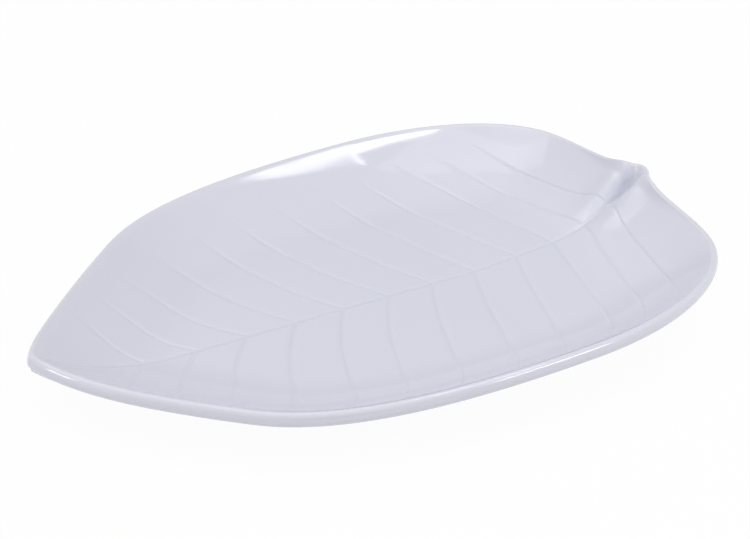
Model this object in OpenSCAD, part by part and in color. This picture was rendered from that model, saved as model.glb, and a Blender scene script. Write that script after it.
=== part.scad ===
// Leaf shaped serving plate.
// A leaf dish with a rolled lip, a pressed midrib and side veins, on a standing ring.
// X runs along the midrib from the tip to the stem, Z is up, and Z = 0 is the surface
// that the plate stands on.

/* [Plate] */
// Length over the lip, from tip to stem
plate_l = 302.5; // [250:0.5:380]
// Width over the lip
plate_w = 216; // [190:1:270]
// Thickness of the floor
floor_t = 4.5; // [3:0.1:7]
// How far the floor sweeps up towards the stem
floor_rise = 3.5; // [0:0.1:6]

/* [Lip] */
// Thickness of the rolled lip
lip_t = 4; // [3:0.1:6]
// Extra depth of the lip on its outer side
lip_drop = 2; // [0:0.1:3]
// Tilt of the wall where it meets the lip, in degrees
lip_tilt = 35; // [20:1:50]
// Height of the lip's centre line above the floor at mid length
lip_depth = 19.6; // [14:0.1:28]
// Gain in lip height from mid length to the stem end
lip_gain = 4.6; // [0:0.1:8]
// Loss in lip height from mid length to the tip end
lip_loss = 6.2; // [0:0.1:9]
// Extra lift of the lip at the tip
tip_lift = 4; // [0:0.1:8]
// Distance over which the lift at the tip dies away
tip_reach = 28; // [15:1:45]
// Extra lift of the lip at the stem
stem_lift = 5; // [0:0.1:10]
// Distance over which the lift at the stem dies away
stem_reach = 25; // [15:1:45]

/* [Wall] */
// Horizontal run of the inner wall, from lip to floor
wall_run = 50; // [40:0.5:60]
// Horizontal run of the outer wall, from lip to base
under_run = 46; // [38:0.5:52]
// Sharpness of the inner wall's sweep
wall_power = 1.8; // [1.4:0.05:2.4]
// Sharpness of the outer wall's sweep
under_power = 1.6; // [1.3:0.05:2]

/* [Stem folds] */
// Height of the fold on each side of the midrib at the stem
fold_h = 4.2; // [0:0.1:7]
// Length of each fold, from its crest down to the floor
fold_l = 28; // [15:0.5:35]
// Distance from the stem end to the crest of the folds
fold_back = 12; // [8:0.5:20]
// Distance of each fold from the midrib
fold_off = 7; // [5:0.1:12]
// Half width of each fold
fold_w = 7.5; // [4:0.1:10]
// Depth of the channel between the two folds
channel_d = 4.6; // [0:0.1:6]
// Half width of the channel
channel_w = 3.2; // [2:0.1:5]
// Length of the channel, from its deepest place down to the floor
channel_l = 18; // [10:0.5:30]
// Distance from the stem end to the deepest place of the channel
channel_back = 4.5; // [3.5:0.1:8]

/* [Veins] */
// Width of the midrib groove
midrib_w = 4; // [1.5:0.1:6]
// Depth of the midrib groove
midrib_d = 0.4; // [0.2:0.05:1.2]
// Width of a side vein groove
vein_w = 3; // [1:0.1:4]
// Depth of a side vein groove
vein_d = 0.3; // [0.2:0.05:1]

/* [Foot ring] */
// Height of the foot ring
foot_h = 3.5; // [2:0.1:6]
// Width of the foot ring where it joins the base
foot_t = 6; // [4:0.1:9]
// Width of the foot ring's standing face
foot_face = 3; // [1.5:0.1:4]
// Rounding of the standing face's edges
foot_edge = 0.5; // [0.2:0.05:0.7]
// Clear distance from the start of the outer wall to the foot ring
foot_inset = 8; // [4:0.5:14]

/* [Hidden] */

// Lip centre line
lip_r = lip_t / 2;
half_l = plate_l / 2 - lip_r;
half_w = plate_w / 2 - lip_r;
// Half of the leaf's outline as joined curves of four points each, in shares of the
// half length and half width: tip, flank, belly, shoulder, pinch and stem
leaf_shares = [
  [[-1, 0], [-0.97, 0.18], [-0.685, 0.583], [-0.59, 0.708]],
  [[-0.59, 0.708], [-0.42, 0.932], [-0.115, 1], [0.305, 1]],
  [[0.305, 1], [0.585, 1], [0.828, 0.857], [0.91, 0.63]],
  [[0.91, 0.63], [0.97, 0.465], [0.945, 0.175], [0.975, 0.075]],
  [[0.975, 0.075], [0.982, 0.052], [1, 0.03], [1, 0]]
];
leaf_steps = 160;

// The leaf is drawn on cross lines that swing from the midrib to the tip side. Each
// starts on the midrib at a share of the half length, and ends on the outline at a
// place counted in outline curves. Cross lines first_vein to last_vein carry veins.
root_shares = [
  -0.98, -0.845, -0.69, -0.535, -0.38, -0.225, -0.072, 0.082, 0.233, 0.382, 0.533,
  0.668, 0.784, 0.874, 0.9, 0.92, 0.937, 0.951, 0.966, 0.978, 0.986
];
end_shares = [
  0, 0.23, 0.45, 0.6, 0.79, 1.08, 1.31, 1.47, 1.63, 1.79, 1.91,
  2.04, 2.2, 2.45, 2.7, 3, 3.35, 3.7, 4, 4.5, 5
];
// How far each cross line puts off its swing to the tip side
late_shares = [
  0, 0, 0, 0.05, 0.15, 0.2, 0.2, 0.25, 0.4, 0.55, 0.7,
  1, 0.9, 0.75, 0.6, 0.4, 0.2, 0, 0, 0, 0
];
bow_share = 0.055;
first_vein = 2;
last_vein = 13;
vein_pitch = half_l * (root_shares[last_vein] - root_shares[first_vein]) / (last_vein - first_vein);
vein_half_share = vein_w / 2 / vein_pitch;
// Cross lines between the tip and the first vein, between two veins, and to the stem
tip_line_shares = [0, 0.3, 0.65, 1, 1.5];
between_shares = [0.37, 0.63];
stem_line_share = 0.5;
// Where a vein starts to fade on its cross line, and where it is gone
fade_shares = [0.6, 0.94];
// Where the midrib groove fades in from the tip, as shares of the half length
midrib_shares = [-0.93, -0.72];
// Where the floor starts to sweep up to the stem and where it ends, likewise
rise_shares = [0.33, 0.73];
// Where the lip's extra depth starts to fade and where it would be gone, likewise
drop_shares = [0.5, 1.1];

// Rows of points along a cross line: across the midrib groove, out to the lip, round
// the lip, and back under the dish
groove_shares = [0, 0.5, 1];
groove_depth_shares = [1, 0.6, 0];
groove_most_share = 0.2;
top_shares = [
  0.015, 0.03, 0.05, 0.08, 0.12, 0.18, 0.25, 0.33, 0.42, 0.5, 0.58, 0.66, 0.74, 0.82, 0.9, 0.96
];
lip_steps = 6;
under_shares = [0.94, 0.86, 0.77, 0.68, 0.6, 0.52, 0.4, 0.2, 0];

// The foot ring's centre line is a rounder leaf inside the start of the outer wall.
// The pointed ends need more run than the straight sides do.
foot_shares = [
  [[-1, 0], [-1, 0.3], [-0.75, 0.62], [-0.55, 0.78]],
  [[-0.55, 0.78], [-0.36, 0.93], [-0.1, 1], [0.25, 1]],
  [[0.25, 1], [0.7, 1], [1, 0.62], [1, 0]]
];
foot_tip_share = 1.25;
foot_stem_share = 1.1;
foot_run = under_run + foot_inset + foot_t / 2;
foot_tip_x = -half_l + foot_tip_share * foot_run;
foot_stem_x = half_l - foot_stem_share * foot_run;
foot_half_w = half_w - foot_run;
foot_steps = 16;
foot_turns = [0, 30, 60, 90];

function smooth(s) = let(t = min(max(s, 0), 1)) t * t * (3 - 2 * t);
function mix(a, b, t) = a + (b - a) * t;

// A curve of four points, its direction, and the direction to its left
function curve_at(c, t) =
  pow(1 - t, 3) * c[0] + 3 * t * pow(1 - t, 2) * c[1] + 3 * t * t * (1 - t) * c[2] + pow(t, 3) * c[3];
function curve_slope(c, t) =
  pow(1 - t, 2) * (c[1] - c[0]) + 2 * t * (1 - t) * (c[2] - c[1]) + t * t * (c[3] - c[2]);
function left_of(d) = [-d[1], d[0]] / norm(d);

// A smooth curve through a list of shares
function share_at(list, n) =
  let(e = len(list) - 1)
  n < 0 ? 2 * list[0] - list[-n] : n > e ? 2 * list[e] - list[2 * e - n] : list[n];
function spline(list, q) =
  let(
    i = min(floor(q), len(list) - 2), f = q - i,
    a = share_at(list, i - 1), b = list[i], c = list[i + 1], d = share_at(list, i + 2)
  )
  b + f * (c - a + f * (2 * a - 5 * b + 4 * c - d + f * (3 * b - a - 3 * c + d))) / 2;

// A point of the half outline, and the direction that faces out of the leaf there
function leaf_edge(u) =
  let(k = min(len(leaf_shares) - 1, floor(u)), s = curve_at(leaf_shares[k], u - k))
  [half_l * s[0], half_w * s[1]];
function leaf_outward(u) =
  let(n = len(leaf_shares), k = min(n - 1, floor(u)), s = curve_slope(leaf_shares[k], u - k))
  u <= 0 ? [-1, 0] : u >= n ? [1, 0] : left_of([half_l * s[0], half_w * s[1]]);

// Distance from a point of the leaf to the lip's centre line
leaf_points = [for (i = [0:leaf_steps]) leaf_edge(len(leaf_shares) * i / leaf_steps)];
function gap_to(p, a, b) =
  let(ab = b - a, t = min(max((p - a) * ab / (ab * ab), 0), 1)) norm(p - a - t * ab);
function inset(p) = min([for (i = [1:leaf_steps]) gap_to(p, leaf_points[i - 1], leaf_points[i])]);

// From the stem end at distance d = 0, up to 1 at the crest and back to 0 over a length
function swell(d, crest, l) = smooth(d / crest) * (1 - smooth((d - crest) / l));

// Lift of the two folds that flank the midrib at the stem, less the channel between
function fold_lift(p) =
  let(d = half_l - p[0], t = (abs(p[1]) - fold_off) / fold_w, c = p[1] / channel_w)
  swell(d, fold_back, fold_l) * fold_h * exp(-t * t)
  - swell(d, channel_back, channel_l) * channel_d * exp(-c * c);

// Height of the lip's centre line above the floor, without the folds
function lip_height(p) =
  let(
    s = p[0] / half_l,
    t = norm([p[0] + half_l, p[1]]) / tip_reach,
    r = norm([p[0] - half_l, p[1]]) / stem_reach
  )
  lip_depth + s * (lip_gain + lip_loss + s * (lip_gain - lip_loss)) / 2
  + tip_lift * exp(-pow(t, 1.5)) + stem_lift * exp(-pow(r, 1.5));

// The outer side's extra depth fades towards the stem, where the lip is a half round
function drop_at(x) =
  lip_drop * (1 - smooth((x / half_l - drop_shares[0]) / (drop_shares[1] - drop_shares[0])));

// The swept walls: 0 on the flat and 1 where they meet the lip
lip_in = lip_r * sin(lip_tilt);
lip_up = lip_r * cos(lip_tilt);
function wall_sweep(p) = pow(max(0, wall_run - inset(p)) / (wall_run - lip_in), wall_power);
function under_sweep(p) = pow(max(0, under_run - inset(p)) / (under_run + lip_in), under_power);
function rise_at(x) =
  floor_rise * smooth((x / half_l - rise_shares[0]) / (rise_shares[1] - rise_shares[0]));

// A point at share v of the cross line from the midrib to the point o
function on_line(q, o, v) =
  let(x = half_l * spline(root_shares, q), late = spline(late_shares, q))
  [mix(x, o[0], mix(v, v * v, late) + bow_share * sin(360 * v)), o[1] * v];

// Heights of the dish's upper and under faces
function top_z(p, lip) =
  let(w = wall_sweep(p))
  foot_h + floor_t + mix(rise_at(p[0]), lip + lip_up, w) + fold_lift(p);
function under_z(p, lip, drop) =
  foot_h + (floor_t + lip - lip_up - drop) * under_sweep(p) + fold_lift(p);

function vein_depth(v) = vein_d * (1 - smooth((v - fade_shares[0]) / (fade_shares[1] - fade_shares[0])));
function midrib_depth(x) =
  midrib_d * smooth((x / half_l - midrib_shares[0]) / (midrib_shares[1] - midrib_shares[0]));

// One section of the dish along cross line q, from the midrib round to the midrib
function section(q, vein) =
  let(
    u = min(max(spline(end_shares, q), 0), len(leaf_shares)),
    o = leaf_edge(u), n = leaf_outward(u), lip = lip_height(o),
    inner = o - lip_in * n, outer = o + lip_in * n,
    lip_z = foot_h + floor_t + lip, drop = drop_at(o[0]),
    groove = min(groove_most_share, midrib_w / 2 / max(inner[1], lip_r))
  )
  concat(
    [for (i = [0:len(groove_shares) - 1])
      let(
        v = groove * groove_shares[i], p = on_line(q, inner, v),
        cut = midrib_depth(p[0]) * groove_depth_shares[i]
      )
      [p[0], p[1], top_z(p, lip) - max(cut, vein * vein_depth(v))]],
    [for (s = top_shares)
      let(v = mix(groove, 1, s), p = on_line(q, inner, v))
      [p[0], p[1], top_z(p, lip) - vein * vein_depth(v)]],
    [for (i = [0:lip_steps])
      let(a = 90 + lip_tilt - 180 * i / lip_steps, p = o + lip_r * cos(a) * n)
      [p[0], p[1], lip_z + fold_lift(p) + lip_r * sin(a) - drop * smooth(i / lip_steps)]],
    [for (v = under_shares)
      let(p = on_line(q, outer, v)) [p[0], p[1], under_z(p, lip, drop)]]
  );

// The cross lines in order, each with 1 if it is the bottom of a vein
lines = concat(
  [for (q = tip_line_shares) [q, 0]],
  [for (i = [first_vein:last_vein]) each concat(
    [[i - vein_half_share, 0], [i, 1], [i + vein_half_share, 0]],
    [for (b = between_shares) [i + b, 0]]
  )],
  [for (q = [last_vein + 1:stem_line_share:len(root_shares) - 1]) [q, 0]]
);

// A skin over sections that share their ends with their mirror images
module mirrored_skin(sections) {
  last = len(sections) - 1;
  rows = len(sections[0]);
  one_side = (last + 1) * rows;
  function place(side, k, c) =
    side == 0 || c == 0 || c == rows - 1 || k == 0 || k == last ? k * rows + c
    : one_side + (k - 1) * (rows - 2) + c - 1;
  points = concat(
    [for (s = sections) each s],
    [for (k = [1:last - 1], c = [1:rows - 2]) [sections[k][c][0], -sections[k][c][1], sections[k][c][2]]]
  );
  faces = [for (side = [0, 1], k = [0:last - 1], c = [0:rows - 2])
    let(
      a = place(side, k, c), b = place(side, k, c + 1),
      d = place(side, k + 1, c), e = place(side, k + 1, c + 1),
      halves = (c < rows / 2) == (k > last / 2) ? [[a, b, d], [b, e, d]] : [[a, b, e], [a, e, d]]
    )
    each [for (h = halves) side == 0 ? h : [h[0], h[2], h[1]]]];
  polyhedron(points = points, faces = faces);
}

module leaf_dish() {
  color([0.85, 0.85, 0.9]) mirrored_skin([for (l = lines) section(l[0], l[1])]);
}

// The foot ring's section, as distances from its centre line and heights: up its
// outer side, which flares into the base, and down its inner side
foot_side = concat(
  [[foot_face / 2 - foot_edge, 0]],
  [for (a = foot_turns)
    [foot_face / 2 + (foot_t - foot_face) / 2 * (1 - cos(a)), mix(foot_edge, foot_h, sin(a))]]
);
foot_section = concat(
  foot_side,
  [for (i = [len(foot_side) - 1:-1:0]) [-foot_side[i][0], foot_side[i][1]]]
);

// The centre line and outward direction at place u of the foot ring's half outline
function foot_centre(u) =
  let(k = min(len(foot_shares) - 1, floor(u)), s = curve_at(foot_shares[k], u - k))
  [mix(foot_tip_x, foot_stem_x, (s[0] + 1) / 2), foot_half_w * s[1]];
function foot_outward(u) =
  let(k = min(len(foot_shares) - 1, floor(u)), s = curve_slope(foot_shares[k], u - k))
  left_of([(foot_stem_x - foot_tip_x) / 2 * s[0], foot_half_w * s[1]]);

module foot_ring() {
  half_turn = len(foot_shares) * foot_steps;
  turn = 2 * half_turn;
  rows = len(foot_section);
  points = [for (i = [0:turn - 1])
    let(
      back = i > half_turn, u = (back ? turn - i : i) / foot_steps,
      p = foot_centre(u), n = foot_outward(u)
    )
    each [for (s = foot_section)
      [p[0] + s[0] * n[0], (back ? -1 : 1) * (p[1] + s[0] * n[1]), s[1]]]];
  faces = [for (i = [0:turn - 1], c = [0:rows - 1])
    let(
      j = (i + 1) % turn, d = (c + 1) % rows,
      a = i * rows + c, b = i * rows + d, e = j * rows + d, f = j * rows + c
    )
    each [[a, e, b], [a, f, e]]];
  color([0.93, 0.92, 0.9]) polyhedron(points = points, faces = faces);
}

leaf_dish();
foot_ring();
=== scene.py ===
"""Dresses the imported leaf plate: a fine glazed dish on a bare foot ring, in a small studio."""

import logging
import math
from dataclasses import dataclass, field
from enum import Enum
from typing import Sequence

import bmesh
import bpy
import numpy as np
from mathutils import Matrix, Vector


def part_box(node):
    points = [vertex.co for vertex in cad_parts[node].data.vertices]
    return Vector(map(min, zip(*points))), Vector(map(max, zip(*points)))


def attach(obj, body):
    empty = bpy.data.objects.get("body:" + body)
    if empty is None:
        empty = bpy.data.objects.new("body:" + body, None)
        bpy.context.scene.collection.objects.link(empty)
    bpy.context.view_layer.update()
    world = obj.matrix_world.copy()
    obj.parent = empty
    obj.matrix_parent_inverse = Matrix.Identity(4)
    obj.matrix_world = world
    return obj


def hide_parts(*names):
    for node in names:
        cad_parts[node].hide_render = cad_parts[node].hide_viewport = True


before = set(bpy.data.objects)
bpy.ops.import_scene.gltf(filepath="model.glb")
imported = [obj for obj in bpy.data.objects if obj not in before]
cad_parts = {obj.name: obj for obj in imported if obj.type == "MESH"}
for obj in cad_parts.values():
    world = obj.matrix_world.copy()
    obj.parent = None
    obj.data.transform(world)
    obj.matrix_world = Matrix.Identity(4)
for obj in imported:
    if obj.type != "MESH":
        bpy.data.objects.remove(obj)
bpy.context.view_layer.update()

MM = 0.001
MERGE_DISTANCE = 1e-6
PHOTO_WIDTH_PX = 750
WHITE = (1.0, 1.0, 1.0, 1.0)
HalfOutline = tuple[tuple[tuple[float, float], ...], ...]
log = logging.getLogger("leaf_plate")


class Slot(Enum):
    """Material slots of the record that the new pieces take their finish from."""

    GLAZED = "glazed_dish"
    BARE = "bare_foot"


class Trace(Enum):
    """Named values that a mesh carries on its points for its material to read."""

    GROOVE = "groove_depth"
    RIM = "rim_nearness"
    FOOT = "foot_height"


def smooth(share: np.ndarray) -> np.ndarray:
    """Eases a share from 0 to 1 with level ends."""
    t = np.clip(share, 0.0, 1.0)
    return t * t * (3.0 - 2.0 * t)


def curve_point(curves: np.ndarray, place: np.ndarray) -> np.ndarray:
    """Gives points of joined cubic curves.

    Args:
        curves: Control points, shaped curves by 4 by 2.
        place: Places counted in curves from the start.

    Returns:
        One point for each place.
    """
    k = np.clip(np.floor(place).astype(int), 0, len(curves) - 1)
    t = (place - k)[:, None]
    c = curves[k]
    return (
        (1 - t) ** 3 * c[:, 0] + 3 * t * (1 - t) ** 2 * c[:, 1]
        + 3 * t * t * (1 - t) * c[:, 2] + t**3 * c[:, 3]
    )


def curve_slope(curves: np.ndarray, place: np.ndarray) -> np.ndarray:
    """Gives the direction of joined cubic curves.

    Args:
        curves: Control points, shaped curves by 4 by 2.
        place: Places counted in curves from the start.

    Returns:
        One direction for each place, not of unit length.
    """
    k = np.clip(np.floor(place).astype(int), 0, len(curves) - 1)
    t = (place - k)[:, None]
    c = curves[k]
    return (
        (1 - t) ** 2 * (c[:, 1] - c[:, 0]) + 2 * t * (1 - t) * (c[:, 2] - c[:, 1])
        + t * t * (c[:, 3] - c[:, 2])
    )


def through(shares: Sequence[float], place: np.ndarray) -> np.ndarray:
    """Reads a smooth curve through a list of shares.

    Args:
        shares: The values at places 0, 1, 2 and so on.
        place: Where to read the curve.

    Returns:
        One value for each place.
    """
    s = np.array(shares, float)
    s = np.concatenate([[2 * s[0] - s[1]], s, [2 * s[-1] - s[-2]]])
    i = np.clip(np.floor(place).astype(int), 0, len(shares) - 2)
    f = place - i
    a, b, c, d = s[i], s[i + 1], s[i + 2], s[i + 3]
    return b + f * (c - a + f * (2 * a - 5 * b + 4 * c - d + f * (3 * b - a - 3 * c + d))) / 2


def left_of(slope: np.ndarray) -> np.ndarray:
    """Turns plan directions a quarter to the left, at unit length."""
    n = np.stack([-slope[:, 1], slope[:, 0]], axis=1)
    return n / np.linalg.norm(n, axis=1)[:, None]


def bell(turn: np.ndarray) -> np.ndarray:
    """Gives a groove's depth across its half width, from 1 at its middle to 0 at its edge."""
    return 0.5 + 0.5 * np.cos(np.pi * turn)


def warped_grid(points: np.ndarray, traces: dict[Trace, np.ndarray]) -> bmesh.types.BMesh:
    """Makes a grid and lays it on a table of computed places.

    Args:
        points: Places in millimetres, shaped columns by rows by 3.
        traces: Values for each place, which the mesh keeps under the trace's name.

    Returns:
        The bent grid, in metres.
    """
    columns, rows = points.shape[0] - 1, points.shape[1] - 1
    bm = bmesh.new()
    layers = {t: bm.verts.layers.float.new(t.value) for t in traces}
    bmesh.ops.create_grid(bm, x_segments=columns, y_segments=rows, size=1.0)
    for vert in bm.verts:
        i = round((vert.co.x + 1) / 2 * columns)
        j = round((vert.co.y + 1) / 2 * rows)
        vert.co = Vector(points[i, j]) * MM
        for trace, layer in layers.items():
            vert[layer] = float(traces[trace][i, j])
    return bm


def linked(name: str, data: bpy.types.ID) -> bpy.types.Object:
    """Makes an object and links it to the scene.

    Args:
        name: The object's name.
        data: Its mesh, light or camera.

    Returns:
        The linked object.
    """
    made = bpy.data.objects.new(name, data)
    bpy.context.scene.collection.objects.link(made)
    return made


def mesh_object(
    name: str, bm: bmesh.types.BMesh, material: bpy.types.Material
) -> bpy.types.Object:
    """Turns a bmesh into an object of one material.

    Args:
        name: The object's name.
        bm: Its mesh, which is freed.
        material: The material.

    Returns:
        The linked object.
    """
    mesh = bpy.data.meshes.new(name)
    bm.to_mesh(mesh)
    bm.free()
    mesh.materials.append(material)
    return linked(name, mesh)


def finished_object(
    name: str, bm: bmesh.types.BMesh, material: bpy.types.Material
) -> bpy.types.Object:
    """Turns a bmesh into a smooth piece that rides on the plate.

    Args:
        name: The piece's name.
        bm: Its mesh, which is freed.
        material: The finish.

    Returns:
        The linked object.
    """
    bmesh.ops.recalc_face_normals(bm, faces=bm.faces[:])
    for face in bm.faces:
        face.smooth = True
    piece = mesh_object(name, bm, material)
    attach(piece, "root")
    return piece


def report(piece: bpy.types.Object) -> None:
    """Logs a piece's size and face count."""
    size = ", ".join(f"{d / MM:.1f}" for d in piece.dimensions)
    log.info("%s: %s mm, %d faces", piece.name, size, len(piece.data.polygons))


@dataclass
class LeafShape:
    """Outline, lip line and heights of the leaf, in millimetres from the plate's centre.

    Attributes:
        length: Overall length, from the tip at -X to the stem at +X.
        width: Overall width.
        crown: The greatest height above the table.
        floor: Height of the upper face's flat floor.
        base: Height of the flat underside, where the foot meets it.
        floor_rise: How far the floor climbs towards the stem, within rise_shares.
        lip: Thickness of the lip.
        lip_drop: Extra depth of the lip's outer side, which fades within drop_shares.
        lip_tilt: How far the lip's roll leans outwards, in degrees.
        lip_depth: Height of the lip's centre line above the floor at the middle.
        lip_gain: What that height gains at the stem.
        lip_loss: What it loses at the tip.
        tip_lift: Extra lift of the tip.
        tip_reach: How far that lift reaches.
        stem_lift: Extra lift of the stem.
        stem_reach: How far that lift reaches.
        lift_power: How sharply both lifts fade.
        wall_run: How far the wall's upper face reaches into the floor.
        under_run: How far the wall's under face reaches, likewise.
        wall_power: How hollow the wall's upper face is.
        under_power: How hollow its under face is.
        fold_h: Height of the two stem folds.
        fold_l: The length in which they fade into the floor.
        fold_back: How far from the stem's end they are highest.
        fold_off: Their distance from the midrib.
        fold_w: Their width.
        channel_d: Depth of the channel between the folds.
        channel_w: Its width.
        channel_l: The length in which it fades.
        channel_back: How far from the stem's end it is deepest.
        rise_shares: Where floor_rise starts and ends, as shares of the half length.
        drop_shares: Where lip_drop starts to fade and is gone, likewise.
        outline_steps: Steps of the fine outline that distances are measured to.
        block: How many points are measured at a time.
        outline_shares: The half outline's curves, as shares of the half length and width.
    """

    length: float
    width: float
    crown: float
    floor: float = 8.0
    base: float = 3.5
    floor_rise: float = 3.5
    lip: float = 4.0
    lip_drop: float = 2.0
    lip_tilt: float = 35.0
    lip_depth: float = 19.6
    lip_gain: float = 4.6
    lip_loss: float = 6.2
    tip_lift: float = 4.0
    tip_reach: float = 28.0
    stem_lift: float = 5.0
    stem_reach: float = 25.0
    lift_power: float = 1.5
    wall_run: float = 50.0
    under_run: float = 46.0
    wall_power: float = 1.8
    under_power: float = 1.6
    fold_h: float = 4.2
    fold_l: float = 28.0
    fold_back: float = 12.0
    fold_off: float = 7.0
    fold_w: float = 7.5
    channel_d: float = 4.6
    channel_w: float = 3.2
    channel_l: float = 18.0
    channel_back: float = 4.5
    rise_shares: tuple[float, float] = (0.33, 0.73)
    drop_shares: tuple[float, float] = (0.5, 1.1)
    outline_steps: int = 1400
    block: int = 2000
    outline_shares: HalfOutline = (
        ((-1, 0), (-0.97, 0.18), (-0.685, 0.583), (-0.59, 0.708)),
        ((-0.59, 0.708), (-0.42, 0.932), (-0.115, 1), (0.305, 1)),
        ((0.305, 1), (0.585, 1), (0.828, 0.857), (0.91, 0.63)),
        ((0.91, 0.63), (0.97, 0.465), (0.945, 0.175), (0.975, 0.075)),
        ((0.975, 0.075), (0.982, 0.052), (1, 0.03), (1, 0)),
    )

    def __post_init__(self) -> None:
        """Works out the lip line's half sizes and the fine outline."""
        self.lip_r = self.lip / 2
        self.half_l = self.length / 2 - self.lip_r
        self.half_w = self.width / 2 - self.lip_r
        self.lip_in = self.lip_r * math.sin(math.radians(self.lip_tilt))
        self.lip_up = self.lip_r * math.cos(math.radians(self.lip_tilt))
        self.curves = np.array(self.outline_shares, float) * (self.half_l, self.half_w)
        self.line = self.edge(np.linspace(0, len(self.curves), self.outline_steps + 1))

    def edge(self, place: np.ndarray) -> np.ndarray:
        """Gives points of the half outline at places counted in its curves."""
        return curve_point(self.curves, place)

    def outward(self, place: np.ndarray) -> np.ndarray:
        """Gives the direction out of the leaf on the half outline.

        Args:
            place: Places counted in the outline's curves.

        Returns:
            One direction for each place, along the midrib at both ends.
        """
        n = left_of(curve_slope(self.curves, place))
        n[place <= 0] = (-1, 0)
        n[place >= len(self.curves)] = (1, 0)
        return n

    def inset(self, points: np.ndarray) -> np.ndarray:
        """Measures how far points lie inside the lip's centre line.

        Args:
            points: Plan places in millimetres, shaped any by 2.

        Returns:
            The least distance from each point to the half outline.
        """
        a, ab = self.line[:-1], np.diff(self.line, axis=0)
        flat = points.reshape(-1, 2)
        least = np.empty(len(flat))
        for start in range(0, len(flat), self.block):
            part = slice(start, start + self.block)
            p = flat[part, None, :] - a[None]
            t = np.clip((p * ab).sum(-1) / (ab * ab).sum(-1), 0, 1)
            least[part] = np.linalg.norm(p - t[..., None] * ab, axis=-1).min(1)
        return least.reshape(points.shape[:-1])

    def fold_lift(self, p: np.ndarray) -> np.ndarray:
        """Gives the lift of the two stem folds, less the channel between them.

        Args:
            p: Plan places.

        Returns:
            What the folds add to the height of both faces.
        """
        d = self.half_l - p[..., 0]
        fold = smooth(d / self.fold_back) * (1 - smooth((d - self.fold_back) / self.fold_l))
        channel = smooth(d / self.channel_back)
        channel = channel * (1 - smooth((d - self.channel_back) / self.channel_l))
        t = (np.abs(p[..., 1]) - self.fold_off) / self.fold_w
        c = p[..., 1] / self.channel_w
        return self.fold_h * fold * np.exp(-t * t) - self.channel_d * channel * np.exp(-c * c)

    def lip_height(self, p: np.ndarray) -> np.ndarray:
        """Gives the height of the lip's centre line, without the folds.

        Args:
            p: Plan places on the outline.

        Returns:
            Heights above the floor.
        """
        s = p[..., 0] / self.half_l
        t = np.hypot(p[..., 0] + self.half_l, p[..., 1]) / self.tip_reach
        r = np.hypot(p[..., 0] - self.half_l, p[..., 1]) / self.stem_reach
        sweep = s * (self.lip_gain + self.lip_loss + s * (self.lip_gain - self.lip_loss)) / 2
        tip = self.tip_lift * np.exp(-(t**self.lift_power))
        stem = self.stem_lift * np.exp(-(r**self.lift_power))
        return self.lip_depth + sweep + (tip + stem)

    def drop_at(self, x: np.ndarray) -> np.ndarray:
        """Gives the extra depth of the lip's outer side, which fades towards the stem."""
        start, end = self.drop_shares
        return self.lip_drop * (1 - smooth((x / self.half_l - start) / (end - start)))

    def top(self, p: np.ndarray, lip: np.ndarray) -> np.ndarray:
        """Gives the upper face's height.

        Args:
            p: Plan places.
            lip: The lip's height above the floor on each place's cross line.

        Returns:
            Heights above the table.
        """
        w = np.maximum(0, self.wall_run - self.inset(p)) / (self.wall_run - self.lip_in)
        w = w**self.wall_power
        start, end = self.rise_shares
        rise = self.floor_rise * smooth((p[..., 0] / self.half_l - start) / (end - start))
        return self.floor + rise + (lip + self.lip_up - rise) * w + self.fold_lift(p)

    def under(self, p: np.ndarray, lip: np.ndarray, drop: np.ndarray) -> np.ndarray:
        """Gives the under face's height.

        Args:
            p: Plan places.
            lip: The lip's height above the floor on each place's cross line.
            drop: The extra depth of the lip's outer side there.

        Returns:
            Heights above the table.
        """
        w = np.maximum(0, self.under_run - self.inset(p)) / (self.under_run + self.lip_in)
        w = w**self.under_power
        climb = self.floor - self.base + lip - self.lip_up - drop
        return self.base + climb * w + self.fold_lift(p)


@dataclass(frozen=True)
class GlazeFinish:
    """Clear gloss glaze over a pale lilac-white body, with painted shade in its grooves.

    Attributes:
        body: Colour of the even glaze.
        pool_and_shade: Darker colour in the grooves, for thick glaze there and for painted shade
            in them.
        pool_and_shade_share: How much of that colour, thick glaze and painted shade, a full
            groove shows.
        thin: Colour of thin glaze, on the lip.
        thin_share: How much of that colour the lip shows.
        drift_share: How much of it the soft patches show at their strongest.
        roughness: Roughness of the glaze.
        rough_range: The least and most of it, as shares, over the patches.
        ior: Refractive index.
        wave_scale: Patches per metre.
        wave_sharpness: Contrast of the patches.
        wave_height: Height of the glaze's waves, in metres.
        wave_strength: How strongly the waves bend the reflections.
    """

    body: tuple[float, float, float] = (0.685, 0.694, 0.787)
    pool_and_shade: tuple[float, float, float] = (0.56, 0.58, 0.68)
    pool_and_shade_share: float = 0.12
    thin: tuple[float, float, float] = (0.74, 0.74, 0.80)
    thin_share: float = 0.35
    drift_share: float = 0.05
    roughness: float = 0.07
    rough_range: tuple[float, float] = (0.8, 1.3)
    ior: float = 1.58
    wave_scale: float = 28.0
    wave_sharpness: float = 1.4
    wave_height: float = 0.00002
    wave_strength: float = 0.3


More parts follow.
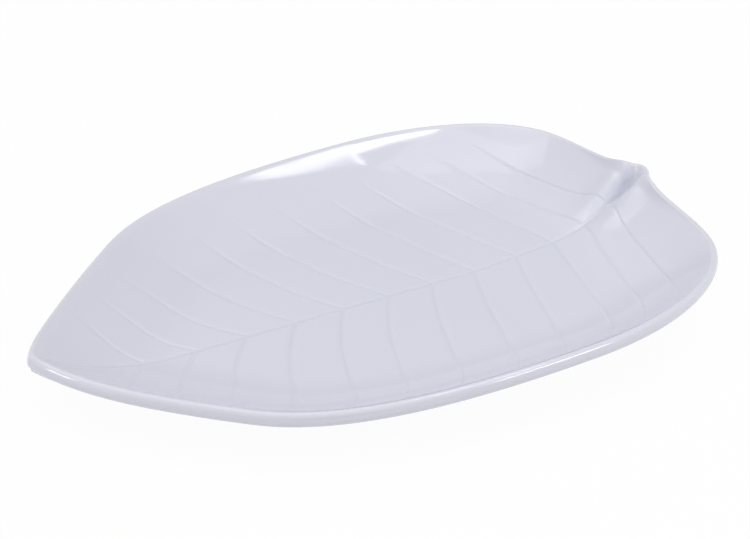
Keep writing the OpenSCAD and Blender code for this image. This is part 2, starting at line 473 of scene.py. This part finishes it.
@dataclass(frozen=True)
class BareFinish:
    """Unglazed body, ground flat where the plate stands.

    Attributes:
        body: Colour of the bare body.
        ground: Colour where it is ground.
        ground_share: How much of that colour the foot's face shows.
        ground_reach: How far up the foot it is ground, as a share of the height.
        roughness: Roughness of the bare body.
        blot_scale: Worn patches per metre.
        blot_sharpness: Their contrast.
        grain_scale: Grains per metre.
        grain_sharpness: Their contrast.
        grain_share: How much of the ground colour the grains show.
        grain_height: Height of the grain, in metres.
        grain_strength: How strongly the grain shows.
    """

    body: tuple[float, float, float] = (0.76, 0.73, 0.68)
    ground: tuple[float, float, float] = (0.62, 0.58, 0.53)
    ground_share: float = 0.8
    ground_reach: float = 0.35
    roughness: float = 0.82
    blot_scale: float = 60.0
    blot_sharpness: float = 1.8
    grain_scale: float = 900.0
    grain_sharpness: float = 2.2
    grain_share: float = 0.25
    grain_height: float = 0.00004
    grain_strength: float = 0.6


class NodeBench:
    """Places and joins shader nodes in one tree."""

    def __init__(self, tree: bpy.types.NodeTree) -> None:
        """Keeps the tree and clears it."""
        self.tree = tree
        tree.nodes.clear()

    def add(self, kind: str, inputs: dict | None = None, **settings: object) -> bpy.types.Node:
        """Adds a node.

        Args:
            kind: The node's type name.
            inputs: Values or sockets for its inputs, by name or number.
            **settings: Attributes of the node.

        Returns:
            The node.
        """
        node = self.tree.nodes.new(kind)
        for key, value in settings.items():
            setattr(node, key, value)
        for key, value in (inputs or {}).items():
            if isinstance(value, bpy.types.NodeSocket):
                self.tree.links.new(value, node.inputs[key])
            else:
                node.inputs[key].default_value = value
        return node

    def maths(
        self, operation: str, first: object, second: object, **settings: object
    ) -> bpy.types.NodeSocket:
        """Works out one sum on two values or sockets, and gives its socket."""
        inputs = {0: first, 1: second}
        return self.add("ShaderNodeMath", inputs, operation=operation, **settings).outputs[0]

    def blend(
        self, share: object, first: bpy.types.Node, second: bpy.types.Node
    ) -> bpy.types.NodeSocket:
        """Blends two shaders by a share, and gives the socket of the result."""
        inputs = {0: share, 1: first.outputs[0], 2: second.outputs[0]}
        return self.add("ShaderNodeMixShader", inputs).outputs[0]

    def mix(self, factor: object, first: object, second: object) -> bpy.types.NodeSocket:
        """Mixes two colours.

        Args:
            factor: A share or a socket.
            first: The colour at 0.
            second: The colour at 1.

        Returns:
            The mixed colour's socket.
        """
        node = self.add("ShaderNodeMix", {0: factor, 6: first, 7: second}, data_type="RGBA")
        return node.outputs[2]


def empty_material(name: str) -> tuple[bpy.types.Material, NodeBench]:
    """Makes a material with no nodes.

    Args:
        name: The material's name.

    Returns:
        The material and its bench.
    """
    material = bpy.data.materials.new(name)
    material.use_nodes = True
    return material, NodeBench(material.node_tree)


def mottle_group(detail: float = 3.0, roughness: float = 0.45) -> bpy.types.NodeTree:
    """Builds the shared effect of soft uneven patches, as a mask and a height.

    Args:
        detail: How many finer layers the patches have.
        roughness: How strong the finer layers are.

    Returns:
        A group with the inputs Place, Scale and Sharpness and the outputs Mask and Height.
    """
    group = bpy.data.node_groups.new("fired_mottle", "ShaderNodeTree")
    face = group.interface
    face.new_socket("Place", in_out="INPUT", socket_type="NodeSocketVector")
    for name in ("Scale", "Sharpness"):
        face.new_socket(name, in_out="INPUT", socket_type="NodeSocketFloat")
    for name in ("Mask", "Height"):
        face.new_socket(name, in_out="OUTPUT", socket_type="NodeSocketFloat")
    bench = NodeBench(group)
    source = bench.add("NodeGroupInput").outputs
    noise = bench.add(
        "ShaderNodeTexNoise",
        {
            "Vector": source["Place"], "Scale": source["Scale"],
            "Detail": detail, "Roughness": roughness,
        },
    ).outputs[0]
    spread = bench.maths("MULTIPLY", bench.maths("SUBTRACT", noise, 0.5), source["Sharpness"])
    mask = bench.maths("ADD", spread, 0.5, use_clamp=True)
    bench.add("NodeGroupOutput", {"Mask": mask, "Height": noise})
    return group


@dataclass
class Kiln:
    """Makes the plate's two materials from their finishes."""

    glaze: GlazeFinish = field(default_factory=GlazeFinish)
    bare: BareFinish = field(default_factory=BareFinish)

    def __post_init__(self) -> None:
        """Builds the shared node group once."""
        self.mottle = mottle_group()

    def patches(self, bench: NodeBench, scale: float, sharpness: float) -> bpy.types.Node:
        """Places the shared mottle on Object coordinates.

        Args:
            bench: The material's bench.
            scale: Patches per metre.
            sharpness: Contrast of the mask.

        Returns:
            The group node, with outputs Mask and Height.
        """
        place = bench.add("ShaderNodeTexCoord").outputs["Object"]
        node = bench.add("ShaderNodeGroup", node_tree=self.mottle)
        bench.tree.links.new(place, node.inputs["Place"])
        node.inputs["Scale"].default_value = scale
        node.inputs["Sharpness"].default_value = sharpness
        return node

    def trace(self, bench: NodeBench, trace: Trace) -> bpy.types.NodeSocket:
        """Reads a value that the mesh carries on its points."""
        return bench.add("ShaderNodeAttribute", attribute_name=trace.value).outputs["Fac"]

    def glazed(self) -> bpy.types.Material:
        """Makes the glaze: deeper and darker in the grooves, with painted shade there too, thin
        and paler on the lip, faintly uneven.

        Returns:
            The dish's material.
        """
        f = self.glaze
        material, bench = empty_material("lilac_white_glaze")
        body, thin, deep = (*f.body, 1), (*f.thin, 1), (*f.pool_and_shade, 1)
        slow = self.patches(bench, f.wave_scale, f.wave_sharpness).outputs
        # Painted shade: the grooves take the darker pooled colour (deep) by their depth, standing
        # for thick glaze and for the shade that falls in them.
        pool_and_shade = bench.maths("MULTIPLY", self.trace(bench, Trace.GROOVE), f.pool_and_shade_share)
        thinned = bench.maths("MULTIPLY", self.trace(bench, Trace.RIM), f.thin_share)
        drift = bench.maths("MULTIPLY", slow["Mask"], f.drift_share)
        colour = bench.mix(thinned, bench.mix(pool_and_shade, bench.mix(drift, body, thin), deep), thin)
        bump = bench.add(
            "ShaderNodeBump",
            {"Strength": f.wave_strength, "Distance": f.wave_height, "Height": slow["Height"]},
        )
        least, most = f.rough_range
        rough = bench.add(
            "ShaderNodeMapRange",
            {"Value": slow["Mask"], "To Min": f.roughness * least, "To Max": f.roughness * most},
        )
        shader = bench.add(
            "ShaderNodeBsdfPrincipled",
            {
                "Base Color": colour, "Roughness": rough.outputs[0],
                "IOR": f.ior, "Normal": bump.outputs[0],
            },
        )
        bench.add("ShaderNodeOutputMaterial", {"Surface": shader.outputs[0]})
        return material

    def unglazed(self) -> bpy.types.Material:
        """Makes the bare foot: matt, fine-grained, a little greyer where it is ground.

        Returns:
            The foot's material.
        """
        f = self.bare
        material, bench = empty_material("unglazed_foot")
        body, ground = (*f.body, 1), (*f.ground, 1)
        grain = self.patches(bench, f.grain_scale, f.grain_sharpness).outputs
        blot = self.patches(bench, f.blot_scale, f.blot_sharpness).outputs
        worn = bench.add(
            "ShaderNodeMapRange",
            {
                "Value": self.trace(bench, Trace.FOOT), "From Max": f.ground_reach,
                "To Min": f.ground_share, "To Max": 0.0,
            },
        )
        colour = bench.mix(bench.maths("MULTIPLY", worn.outputs[0], blot["Mask"]), body, ground)
        speck = bench.maths("MULTIPLY", grain["Mask"], f.grain_share)
        colour = bench.mix(speck, colour, ground)
        bump = bench.add(
            "ShaderNodeBump",
            {"Strength": f.grain_strength, "Distance": f.grain_height, "Height": grain["Height"]},
        )
        shader = bench.add(
            "ShaderNodeBsdfPrincipled",
            {"Base Color": colour, "Roughness": f.roughness, "Normal": bump.outputs[0]},
        )
        bench.add("ShaderNodeOutputMaterial", {"Surface": shader.outputs[0]})
        return material


@dataclass
class LeafDish:
    """The glazed dish: a skin on cross lines that swing from the midrib to the lip.

    Attributes:
        shape: The leaf that the skin follows.
        midrib_w: Width of the midrib's groove, in millimetres like all lengths here.
        midrib_d: Its depth.
        vein_w: Width of a side vein's groove, measured along the midrib.
        vein_d: Its depth.
        bow_share: How far a cross line bows, as a share of its own reach.
        first_vein: The cross line that carries the first side vein, next to the tip.
        last_vein: The one that carries the last, next to the stem.
        groove_most_share: The most of a short cross line that the midrib's groove takes.
        fade_shares: Where a vein starts to fade and is gone, as shares of the way out.
        midrib_shares: Where the midrib starts and is full, as shares of the half length.
        root_shares: Where the cross lines leave the midrib, likewise.
        end_shares: Where they meet the outline, counted in its curves.
        late_shares: How late each swings towards its end, from 0 for a straight line.
        tip_lines: Cross lines before the first vein.
        stem_lines: Cross lines after the last gap.
        vein_lines: Steps across each vein.
        gap_lines: Steps between two veins.
        groove_rows: Rows across half the midrib's groove.
        top_rows: Rows from there to the lip.
        lip_rows: Rows round the lip.
        under_rows: Rows of the underside.
        rim_reach: How far the lip's thin glaze reaches.
    """

    shape: LeafShape
    midrib_w: float = 4.0
    midrib_d: float = 0.4
    vein_w: float = 3.0
    vein_d: float = 0.3
    bow_share: float = 0.055
    first_vein: int = 2
    last_vein: int = 13
    groove_most_share: float = 0.2
    fade_shares: tuple[float, float] = (0.6, 0.94)
    midrib_shares: tuple[float, float] = (-0.93, -0.72)
    root_shares: tuple[float, ...] = (
        -0.98, -0.845, -0.69, -0.535, -0.38, -0.225, -0.072, 0.082, 0.233, 0.382, 0.533,
        0.668, 0.784, 0.874, 0.9, 0.92, 0.937, 0.951, 0.966, 0.978, 0.986,
    )
    end_shares: tuple[float, ...] = (
        0, 0.23, 0.45, 0.6, 0.79, 1.08, 1.31, 1.47, 1.63, 1.79, 1.91,
        2.04, 2.2, 2.45, 2.7, 3, 3.35, 3.7, 4, 4.5, 5,
    )
    late_shares: tuple[float, ...] = (
        0, 0, 0, 0.05, 0.15, 0.2, 0.2, 0.25, 0.4, 0.55, 0.7,
        1, 0.9, 0.75, 0.6, 0.4, 0.2, 0, 0, 0, 0,
    )
    tip_lines: int = 29
    stem_lines: int = 56
    vein_lines: int = 8
    gap_lines: int = 8
    groove_rows: int = 6
    top_rows: int = 62
    lip_rows: int = 16
    under_rows: int = 26
    rim_reach: float = 3.0

    def cross_lines(self) -> tuple[np.ndarray, np.ndarray]:
        """Lists the cross lines.

        Returns:
            Their places, and how deep each lies in its vein, from 0 to 1.
        """
        first, last, roots = self.first_vein, self.last_vein, self.root_shares
        pitch = self.shape.half_l * (roots[last] - roots[first])
        half = self.vein_w / 2 / (pitch / (last - first))
        places = [np.linspace(0, first - half, self.tip_lines + 1)[:-1]]
        for vein in range(first, last + 1):
            places.append(np.linspace(vein - half, vein + half, self.vein_lines + 1))
            end = vein + 1 - half if vein < last else vein + 1
            places.append(np.linspace(vein + half, end, self.gap_lines + 1)[1:-1])
        places.append(np.linspace(last + 1, len(roots) - 1, self.stem_lines))
        q = np.concatenate(places)
        off = np.abs(q - np.clip(np.round(q), first, last)) / half
        return q, np.where(off < 1, bell(np.minimum(off, 1)), 0)

    def on_line(self, q: np.ndarray, ends: np.ndarray, v: np.ndarray) -> np.ndarray:
        """Walks along cross lines.

        Args:
            q: The lines' places.
            ends: Each line's outer end.
            v: Shares of the way out, one row of them for each line.

        Returns:
            Plan places, shaped lines by shares by 2.
        """
        root = self.shape.half_l * through(self.root_shares, q)[:, None]
        late = through(self.late_shares, q)[:, None]
        swing = v + (v * v - v) * late + self.bow_share * np.sin(2 * np.pi * v)
        return np.stack([root + (ends[:, :1] - root) * swing, ends[:, 1:] * v], axis=-1)

    def skin(self) -> tuple[np.ndarray, dict[Trace, np.ndarray]]:
        """Computes one half of the dish, from the midrib round the lip to the midrib below.

        Returns:
            The places, and the traces for the material.
        """
        s = self.shape
        q, vein = self.cross_lines()
        place = np.clip(through(self.end_shares, q), 0, len(s.curves))
        o, n = s.edge(place), s.outward(place)
        lip = s.lip_height(o)[:, None]
        inner, outer = o - s.lip_in * n, o + s.lip_in * n
        drop = s.drop_at(o[:, 0])[:, None]
        groove = self.midrib_w / 2 / np.maximum(inner[:, 1], s.lip_r)
        groove = np.minimum(self.groove_most_share, groove)[:, None]
        across = np.linspace(0, 1, self.groove_rows + 1)
        out = np.linspace(0, 1, self.top_rows + 1)[1:-1]
        v = np.concatenate([groove * across, groove + (1 - groove) * out], axis=1)
        p = self.on_line(q, inner, v)
        start, end = self.midrib_shares
        rib = self.midrib_d * smooth((p[..., 0] / s.half_l - start) / (end - start))
        profile = np.concatenate([bell(across), np.zeros(len(out))])
        start, end = self.fade_shares
        side = self.vein_d * (1 - smooth((v - start) / (end - start))) * vein[:, None]
        cut = np.maximum(rib * profile, side)
        top = np.concatenate([p, (s.top(p, lip) - cut)[..., None]], axis=-1)
        turn = np.linspace(0, 1, self.lip_rows + 1)
        a = np.radians(90 + s.lip_tilt - 180 * turn)
        ring = o[:, None, :] + s.lip_r * np.cos(a)[:, None] * n[:, None, :]
        ring_z = s.floor + lip + s.fold_lift(ring) + s.lip_r * np.sin(a) - drop * smooth(turn)
        ring = np.concatenate([ring, ring_z[..., None]], axis=-1)
        back = np.linspace(1, 0, self.under_rows + 1)[1:]
        pu = self.on_line(q, outer, np.tile(back, (len(q), 1)))
        under = np.concatenate([pu, s.under(pu, lip, drop)[..., None]], axis=-1)
        points = np.concatenate([top, ring, under], axis=1)
        points[..., 2] = np.minimum(points[..., 2], s.crown)
        rest = np.zeros((len(q), points.shape[1] - cut.shape[1]))
        # The groove depth, which the glaze turns into a darker colour: thick glaze and painted
        # shade in the grooves.
        depth = np.concatenate([cut / self.vein_d, rest], axis=1)
        level = np.zeros(ring.shape[:2])
        away = np.concatenate([s.inset(p) - s.lip_in, level, s.inset(pu)], axis=1)
        return points, {Trace.GROOVE: depth, Trace.RIM: np.exp(-((away / self.rim_reach) ** 2))}

    def build(self, material: bpy.types.Material) -> bpy.types.Object:
        """Makes the dish from a bent grid and its mirror image.

        Args:
            material: The glaze.

        Returns:
            The dish, standing for its CAD solid.
        """
        points, traces = self.skin()
        bm = warped_grid(points, traces)
        bmesh.ops.mirror(
            bm,
            geom=bm.verts[:] + bm.edges[:] + bm.faces[:],
            matrix=Matrix.Identity(4),
            merge_dist=MERGE_DISTANCE,
            axis="Y",
        )
        bmesh.ops.remove_doubles(bm, verts=bm.verts[:], dist=MERGE_DISTANCE)
        dish = finished_object("glazed_leaf_dish", bm, material)
        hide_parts("leaf_dish")
        return dish


@dataclass
class FootRing:
    """The bare standing ring, swept along a rounder leaf under the base.

    Attributes:
        shape: The leaf above it.
        height: Height of the ring, in millimetres like all lengths here.
        width: Width where it meets the base.
        face: Width of the flat resting face, with its rounded edges.
        edge: Radius of those edges.
        inset: How far inside the flat underside's edge it runs.
        tip_share: How far it keeps from the tip, as a share of its distance from the lip.
        stem_share: How far it keeps from the stem, likewise.
        steps: Steps along each of the outline's curves.
        flare_rows: Rows of each flared side.
        edge_rows: Rows of each rounded edge.
        outline_shares: Its half outline's curves, as shares of its half length and width.
    """

    shape: LeafShape
    height: float = 3.5
    width: float = 6.0
    face: float = 3.0
    edge: float = 0.5
    inset: float = 8.0
    tip_share: float = 1.25
    stem_share: float = 1.1
    steps: int = 72
    flare_rows: int = 10
    edge_rows: int = 4
    outline_shares: HalfOutline = (
        ((-1, 0), (-1, 0.3), (-0.75, 0.62), (-0.55, 0.78)),
        ((-0.55, 0.78), (-0.36, 0.93), (-0.1, 1), (0.25, 1)),
        ((0.25, 1), (0.7, 1), (1, 0.62), (1, 0)),
    )

    def section(self) -> np.ndarray:
        """Works out the ring's closed section.

        Returns:
            Distances from the centre line and heights, from the middle of the resting
            face up one side and down the other.
        """
        half = self.face / 2
        a = np.linspace(0, np.pi / 2, self.flare_rows + 1)
        flare_x = half + (self.width - self.face) / 2 * (1 - np.cos(a))
        flare_z = self.edge + (self.height - self.edge) * np.sin(a)
        turn = np.linspace(-np.pi / 2, 0, self.edge_rows + 1)[:-1]
        nose_x = half - self.edge + self.edge * np.cos(turn)
        nose_z = self.edge + self.edge * np.sin(turn)
        nose, flare = np.stack([nose_x, nose_z], axis=1), np.stack([flare_x, flare_z], axis=1)
        side = np.concatenate([[[0.0, 0.0]], nose, flare])
        return np.concatenate([side, side[::-1] * (-1, 1)])

    def build(self, material: bpy.types.Material) -> bpy.types.Object:
        """Makes the ring from a bent grid whose ends are merged.

        Args:
            material: The bare finish.

        Returns:
            The ring, standing for its CAD solid.
        """
        s = self.shape
        run = s.under_run + self.inset + self.width / 2
        left, right = -s.half_l + self.tip_share * run, s.half_l - self.stem_share * run
        curves = np.array(self.outline_shares, float)
        curves[..., 0] = left + (right - left) * (curves[..., 0] + 1) / 2
        curves[..., 1] *= s.half_w - run
        place = np.linspace(0, len(curves), len(curves) * self.steps + 1)
        half, n = curve_point(curves, place), left_of(curve_slope(curves, place))
        centre = np.concatenate([half, half[-2::-1] * (1, -1)])
        out = np.concatenate([n, n[-2::-1] * (1, -1)])
        section = self.section()
        plan = centre[:, None, :] + section[None, :, :1] * out[:, None, :]
        z = np.broadcast_to(section[:, 1], plan.shape[:2])
        points = np.concatenate([plan, z[..., None]], axis=-1)
        bm = warped_grid(points, {Trace.FOOT: z / self.height})
        bmesh.ops.remove_doubles(bm, verts=bm.verts[:], dist=MERGE_DISTANCE)
        ring = finished_object("bare_foot_ring", bm, material)
        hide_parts("foot_ring")
        return ring


@dataclass(frozen=True)
class Softbox:
    """A soft rectangular lamp, placed by the spot that it hangs over.

    Attributes:
        name: The lamp's name.
        place: Where it hangs, in metres.
        size: Its width and depth, in metres.
        glow: How bright its face is.
        aim: The point that it faces, or None where it faces straight down.
        turn: How far it is turned about its own axis, in degrees.
    """

    name: str
    place: tuple[float, float, float]
    size: tuple[float, float]
    glow: float
    aim: tuple[float, float, float] | None = None
    turn: float = 0.0

    def build(self) -> bpy.types.Object:
        """Hangs the lamp, with the power that gives its face the wanted glow.

        Returns:
            The lamp.
        """
        data = bpy.data.lights.new(self.name, "AREA")
        data.shape = "RECTANGLE"
        data.size, data.size_y = self.size
        data.energy = self.glow * math.pi * self.size[0] * self.size[1]
        lamp = linked(self.name, data)
        lamp.location = self.place
        down = Vector((0, 0, -1)) if self.aim is None else Vector(self.aim) - Vector(self.place)
        facing = down.to_track_quat("-Z", "Y").to_matrix()
        turned = Matrix.Rotation(math.radians(self.turn), 3, "Z")
        lamp.rotation_euler = (facing @ turned).to_euler()
        return lamp


@dataclass(frozen=True)
class WallGlow:
    """A soft patch of the studio's walls that is brighter or darker than the rest.

    Attributes:
        azimuth: Its middle, in degrees from the +Y side towards +X.
        elevation: Its middle, in degrees above the table.
        inner: How far it is even, in degrees from its middle.
        outer: Where it has faded away, likewise.
        gain: What it adds to the walls' glow.
    """

    azimuth: float
    elevation: float
    inner: float
    outer: float
    gain: float

    def share(self, bench: NodeBench, towards: bpy.types.NodeSocket) -> bpy.types.NodeSocket:
        """Works out what the patch adds in each direction.

        Args:
            bench: The world's bench.
            towards: The direction's socket.

        Returns:
            The socket of the added glow.
        """
        a, e = math.radians(self.azimuth), math.radians(self.elevation)
        middle = (math.sin(a) * math.cos(e), math.cos(a) * math.cos(e), math.sin(e))
        near = bench.add("ShaderNodeVectorMath", {0: towards, 1: middle}, operation="DOT_PRODUCT")
        faded = bench.add(
            "ShaderNodeMapRange",
            {
                "Value": near.outputs["Value"],
                "From Min": math.cos(math.radians(self.outer)),
                "From Max": math.cos(math.radians(self.inner)),
                "To Max": self.gain,
            },
            interpolation_type="SMOOTHSTEP",
        )
        return faded.outputs[0]


@dataclass
class Studio:
    """White table, soft lamps, pale walls and the camera at the photographed angle.

    Attributes:
        azimuth: Where the camera looks, in degrees from the +Y side towards +X.
        elevation: How steeply it looks down, in degrees.
        distance: How far it stands from its target, in metres.
        target: The point in the middle of the picture, in metres.
        lens_px: Its focal length, in pixels of the photo.
        sensor_width: Width of its sensor, in millimetres.
        clip: The nearest and farthest that it sees, in metres.
        floor_size: Width of the table, in metres.
        floor_colour: Colour of the table where it lights the plate.
        table_glow_share: How much of the table's look to camera and reflections is plain white.
        wall_glow: How bright the walls are before the patches.
        wall_least: The least that a patch may leave.
        glows: The patches.
        softboxes: The lamps. Four strips draw the long highlight on the far wall, two lamps
            draw the bright lines on the near lip, and a panel fills the floor of the dish.
    """

    azimuth: float = 29.0
    elevation: float = 30.0
    distance: float = 0.7
    target: tuple[float, float, float] = (0.01785, 0.0229, 0.008)
    lens_px: float = 1534.0
    sensor_width: float = 36.0
    clip: tuple[float, float] = (0.01, 50.0)
    floor_size: float = 6.0
    floor_colour: tuple[float, float, float] = (0.86, 0.86, 0.87)
    table_glow_share: float = 0.96
    wall_glow: float = 0.625
    wall_least: float = 0.05
    glows: tuple[WallGlow, ...] = (
        WallGlow(0, 90, 10, 50, 0.34),
        WallGlow(285, 66, 6, 26, 0.6),
        WallGlow(250, 5, 10, 50, 0.44),
        WallGlow(222, 12, 10, 42, -0.56),
        WallGlow(200, 0, 10, 50, -0.18),
        WallGlow(62, 43, 8, 36, -0.33),
        WallGlow(25, -10, 14, 45, -0.18),
        WallGlow(29, 33, 5, 25, -0.09),
    )
    softboxes: tuple[Softbox, ...] = (
        Softbox("strip_left", (0.455, -0.162, 1.0), (0.02, 0.151), 9.0, turn=12.5),
        Softbox("strip_middle", (0.291, -0.268, 1.0), (0.185, 0.067), 9.0, turn=17.3),
        Softbox("strip_corner", (0.418, -0.26, 1.0), (0.119, 0.12), 9.0, turn=18.5),
        Softbox(
            "lip_lamp_right", (0.54, -0.91, 0.74), (0.38, 0.15), 13.0, aim=(0.07, -0.07, 0.03)
        ),
        Softbox("lip_lamp_left", (-0.92, 0.0, 0.46), (0.16, 0.2), 7.5, aim=(-0.14, -0.02, 0.01)),
        Softbox("strip_right", (0.24, -0.239, 1.0), (0.2, 0.087), 9.0, turn=-18.6),
        Softbox("overhead_panel", (-0.027, 0.29, 1.0), (1.05, 0.32), 0.77, turn=125.0),
    )

    def camera(self) -> bpy.types.Object:
        """Sets the camera that the photograph was taken with.

        Returns:
            The camera.
        """
        az, el = math.radians(self.azimuth), math.radians(self.elevation)
        look = Vector((math.sin(az) * math.cos(el), math.cos(az) * math.cos(el), -math.sin(el)))
        data = bpy.data.cameras.new("photo_camera")
        data.sensor_width = self.sensor_width
        data.lens = self.lens_px / PHOTO_WIDTH_PX * data.sensor_width
        data.clip_start, data.clip_end = self.clip
        camera = linked("photo_camera", data)
        camera.location = Vector(self.target) - look * self.distance
        camera.rotation_euler = look.to_track_quat("-Z", "Y").to_euler()
        bpy.context.scene.camera = camera
        return camera

    def floor(self) -> bpy.types.Object:
        """Lays a plain white table that keeps a trace of the plate's shadow.

        Returns:
            The table.
        """
        bm = bmesh.new()
        bmesh.ops.create_grid(bm, x_segments=1, y_segments=1, size=self.floor_size / 2)
        material, bench = empty_material("white_table")
        path = bench.add("ShaderNodeLightPath").outputs
        seen = path["Is Camera Ray"]
        for ray in ("Is Glossy Ray", "Is Transmission Ray"):
            seen = bench.maths("MAXIMUM", seen, path[ray])
        share = bench.maths("MULTIPLY", seen, self.table_glow_share)
        plain = bench.add("ShaderNodeBsdfDiffuse", {"Color": (*self.floor_colour, 1)})
        glow = bench.add("ShaderNodeEmission", {"Color": WHITE, "Strength": 1.0})
        bench.add("ShaderNodeOutputMaterial", {"Surface": bench.blend(share, plain, glow)})
        table = mesh_object("table", bm, material)
        return table

    def world(self) -> None:
        """Surrounds the table with plain pale walls, white to the camera."""
        world = bpy.data.worlds.new("studio")
        bpy.context.scene.world = world
        world.use_nodes = True
        bench = NodeBench(world.node_tree)
        path = bench.add("ShaderNodeLightPath").outputs
        towards = bench.add("ShaderNodeTexCoord").outputs["Generated"]
        glow = self.wall_glow
        for patch in self.glows:
            glow = bench.maths("ADD", glow, patch.share(bench, towards))
        glow = bench.maths("MAXIMUM", glow, self.wall_least)
        walls = bench.add("ShaderNodeBackground", {"Color": WHITE, "Strength": glow})
        white = bench.add("ShaderNodeBackground", {"Color": WHITE, "Strength": 1.0})
        mixed = bench.blend(path["Is Camera Ray"], walls, white)
        bench.add("ShaderNodeOutputWorld", {"Surface": mixed})

    def build(self) -> None:
        """Sets up camera, table, walls and lamps."""
        self.camera()
        self.floor()
        self.world()
        for softbox in self.softboxes:
            softbox.build()
        bpy.context.scene.view_settings.view_transform = "Standard"


def main() -> None:
    """Builds the studio and the plate's two pieces, and reports each."""
    logging.basicConfig(level=logging.INFO, format="%(message)s")
    Studio().build()
    low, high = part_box("leaf_dish")
    length, width, _ = (high - low) / MM
    shape = LeafShape(length, width, high.z / MM)
    kiln = Kiln()
    for piece in (LeafDish(shape).build(kiln.glazed()), FootRing(shape).build(kiln.unglazed())):
        report(piece)


if __name__ == "__main__":
    main()
